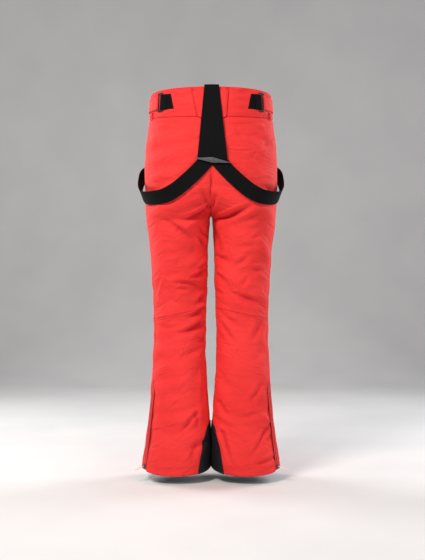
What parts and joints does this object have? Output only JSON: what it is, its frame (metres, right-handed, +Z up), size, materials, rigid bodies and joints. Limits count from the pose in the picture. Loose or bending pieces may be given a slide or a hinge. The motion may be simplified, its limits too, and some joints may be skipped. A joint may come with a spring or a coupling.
{
  "type": "ski pants",
  "caption": "Flared insulated ski trousers with hanging elastic braces, side waist adjusters, zipped pockets, hem zips and scuff guards.",
  "frame": {"origin": "centre of the waist opening, at the height of the waist edge at the sides", "axes": "+Z up the legs towards the waist, +Y towards the wearer's front, +X towards the wearer's right"},
  "size_m": [0.4176, 0.259, 1.0585],
  "materials": {
    "shell_fabric": "matt coral-red woven polyester with a light hand, wadding and lining quilted behind it",
    "lining": "pale grey brushed taffeta lining",
    "scuff_fabric": "black coated ripstop",
    "gaiter_fabric": "thin black nylon",
    "elastic_webbing": "black knitted elastic, matt, finely ribbed",
    "badge": "grey moulded plain patch",
    "buckle_plastic": "black acetal",
    "zip_tape": "red zip tape with a nylon coil",
    "slider_metal": "gunmetal plated",
    "puller_rubber": "pale pink moulded pull"
  },
  "bodies": {
    "root": {"waistband_back": "shell_fabric", "waistband_front_left": "shell_fabric", "waistband_front_right": "shell_fabric", "waistband_lining": "lining", "seat_left": "shell_fabric", "hip_front_left": "shell_fabric", "seat_right": "shell_fabric", "hip_front_right": "shell_fabric", "fly_zip_tape": "zip_tape", "pocket_zip_tape_left": "zip_tape", "pocket_zip_tape_right": "zip_tape", "pocket_bag_left": "lining", "pocket_bag_right": "lining", "snap_stud": "slider_metal", "fly_guard": "shell_fabric", "centre_back_tab": "shell_fabric", "adjuster_ring_left": "buckle_plastic", "adjuster_tab_left": "shell_fabric", "adjuster_ring_right": "buckle_plastic", "adjuster_tab_right": "shell_fabric", "belt_loop_left": "shell_fabric", "belt_loop_right": "shell_fabric", "back_strap_left": "elastic_webbing", "back_strap_right": "elastic_webbing", "strap_junction_patch": "badge", "side_strap_left": "elastic_webbing", "front_tab_left": "elastic_webbing", "side_strap_right": "elastic_webbing", "front_tab_right": "elastic_webbing"},
    "thigh_left": {"thigh_back_left": "shell_fabric", "thigh_front_left": "shell_fabric"},
    "shin_left": {"shin_back_left": "shell_fabric", "shin_front_left": "shell_fabric", "scuff_guard_left": "scuff_fabric", "gaiter_left": "gaiter_fabric", "hem_zip_tape_left": "zip_tape"},
    "thigh_right": {"thigh_back_right": "shell_fabric", "thigh_front_right": "shell_fabric"},
    "shin_right": {"shin_back_right": "shell_fabric", "shin_front_right": "shell_fabric", "scuff_guard_right": "scuff_fabric", "gaiter_right": "gaiter_fabric", "hem_zip_tape_right": "zip_tape"},
    "fly_slider": {"fly_slider": "slider_metal"},
    "fly_puller": {"fly_puller": "puller_rubber"},
    "pocket_slider_left": {"pocket_slider_left": "slider_metal"},
    "pocket_puller_left": {"pocket_puller_left": "puller_rubber"},
    "hem_slider_left": {"hem_slider_left": "slider_metal"},
    "hem_puller_left": {"hem_puller_left": "puller_rubber"},
    "pocket_slider_right": {"pocket_slider_right": "slider_metal"},
    "pocket_puller_right": {"pocket_puller_right": "puller_rubber"},
    "hem_slider_right": {"hem_slider_right": "slider_metal"},
    "hem_puller_right": {"hem_puller_right": "puller_rubber"},
    "closure_tab": {"closure_tab": "shell_fabric", "snap_cap": "slider_metal"},
    "adjuster_flap_left": {"adjuster_flap_left": "elastic_webbing"},
    "adjuster_flap_right": {"adjuster_flap_right": "elastic_webbing"},
    "strap_adjuster_left": {"strap_adjuster_left": "buckle_plastic"},
    "strap_adjuster_right": {"strap_adjuster_right": "buckle_plastic"}
  },
  "joints": [
    {"name": "hip_left", "type": "hinge", "parent": "root", "child": "thigh_left", "pos_m": [-0.09, -0.008, -0.24], "axis": [1, 0, 0], "range_deg": [-15, 50]},
    {"name": "knee_left", "type": "hinge", "parent": "thigh_left", "child": "shin_left", "pos_m": [-0.09, 0.007, -0.665], "axis": [-1, 0, 0], "range_deg": [0, 50]},
    {"name": "hip_right", "type": "hinge", "parent": "root", "child": "thigh_right", "pos_m": [0.09, -0.008, -0.24], "axis": [1, 0, 0], "range_deg": [-15, 50]},
    {"name": "knee_right", "type": "hinge", "parent": "thigh_right", "child": "shin_right", "pos_m": [0.09, 0.007, -0.665], "axis": [-1, 0, 0], "range_deg": [0, 50]},
    {"name": "fly_slide", "type": "slide", "parent": "root", "child": "fly_slider", "axis": [0, 0.0428, -0.9991], "range_m": [0, 0.118]},
    {"name": "fly_pull", "type": "hinge", "parent": "fly_slider", "child": "fly_puller", "pos_m": [0, 0.11041, -0.07094], "axis": [1, 0, 0], "range_deg": [0, 165]},
    {"name": "pocket_left_slide", "type": "slide", "parent": "root", "child": "pocket_slider_left", "axis": [-0.0829, -0.0654, -0.9944], "range_m": [0, 0.108]},
    {"name": "pocket_left_pull", "type": "hinge", "parent": "pocket_slider_left", "child": "pocket_puller_left", "pos_m": [-0.1756, 0.02994, -0.10564], "axis": [0.2668, 0.96, -0.0854], "range_deg": [-11, 150]},
    {"name": "hem_left_slide", "type": "slide", "parent": "shin_left", "child": "hem_slider_left", "axis": [0.1059, 0.0256, 0.9941], "range_m": [0, 0.205]},
    {"name": "hem_left_pull", "type": "hinge", "parent": "hem_slider_left", "child": "hem_puller_left", "pos_m": [-0.18619, -0.04625, -1.02333], "axis": [-0.4229, 0.9059, 0.0217], "range_deg": [-60, 100]},
    {"name": "pocket_right_slide", "type": "slide", "parent": "root", "child": "pocket_slider_right", "axis": [0.0829, -0.0654, -0.9944], "range_m": [0, 0.108]},
    {"name": "pocket_right_pull", "type": "hinge", "parent": "pocket_slider_right", "child": "pocket_puller_right", "pos_m": [0.1756, 0.02994, -0.10564], "axis": [0.2668, -0.96, 0.0854], "range_deg": [-11, 150]},
    {"name": "hem_right_slide", "type": "slide", "parent": "shin_right", "child": "hem_slider_right", "axis": [-0.1059, 0.0256, 0.9941], "range_m": [0, 0.205]},
    {"name": "hem_right_pull", "type": "hinge", "parent": "hem_slider_right", "child": "hem_puller_right", "pos_m": [0.18619, -0.04625, -1.02333], "axis": [-0.4229, -0.9059, -0.0217], "range_deg": [-60, 100]},
    {"name": "closure_tab_open", "type": "hinge", "parent": "root", "child": "closure_tab", "pos_m": [0.045, 0.10229, -0.031], "axis": [0, 0, -1], "range_deg": [0, 80]},
    {"name": "adjuster_left_peel", "type": "hinge", "parent": "root", "child": "adjuster_flap_left", "pos_m": [-0.13287, -0.08318, -0.02947], "axis": [0, -0.1186, -0.9929], "range_deg": [0, 95]},
    {"name": "strap_adjuster_left_slide", "type": "slide", "parent": "root", "child": "strap_adjuster_left", "axis": [0.3426, 0.0573, 0.9377], "range_m": [-0.022, 0.022]},
    {"name": "adjuster_right_peel", "type": "hinge", "parent": "root", "child": "adjuster_flap_right", "pos_m": [0.13287, -0.08318, -0.02947], "axis": [0, 0.1186, 0.9929], "range_deg": [0, 95]},
    {"name": "strap_adjuster_right_slide", "type": "slide", "parent": "root", "child": "strap_adjuster_right", "axis": [-0.3426, 0.0573, 0.9377], "range_m": [-0.022, 0.022]}
  ]
}
